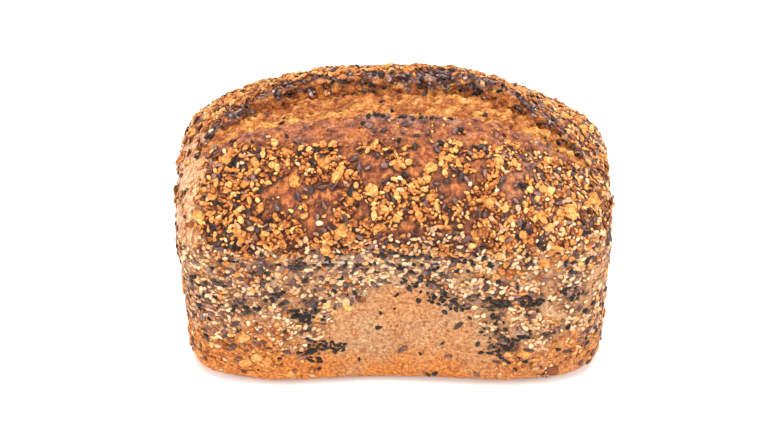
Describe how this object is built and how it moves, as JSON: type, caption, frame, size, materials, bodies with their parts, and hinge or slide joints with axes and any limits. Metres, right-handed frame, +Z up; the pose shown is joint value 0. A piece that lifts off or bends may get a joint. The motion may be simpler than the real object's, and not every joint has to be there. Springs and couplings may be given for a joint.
{
  "type": "rye bread loaf",
  "caption": "Tin-baked rye loaf with upright walls, a domed crown split along its length, and a crust rolled in mixed seeds and cracked grain.",
  "frame": {"origin": "on the flat base that the loaf rests on, under the middle of the loaf", "axes": "+X along the loaf and its split, +Y across it to the back, +Z up; the wall with the bare arched patch faces -Y"},
  "size_m": [0.1948, 0.1114, 0.1218],
  "materials": {
    "crust": "matt to satin baked crust: dark and slightly glossy on the crown, paler and floury on the tin walls",
    "pale_seed": "satin toasted sesame and oat",
    "dark_seed": "satin linseed and black seed"
  },
  "bodies": {
    "root": {"rye_loaf": "crust"}
  },
  "joints": []
}
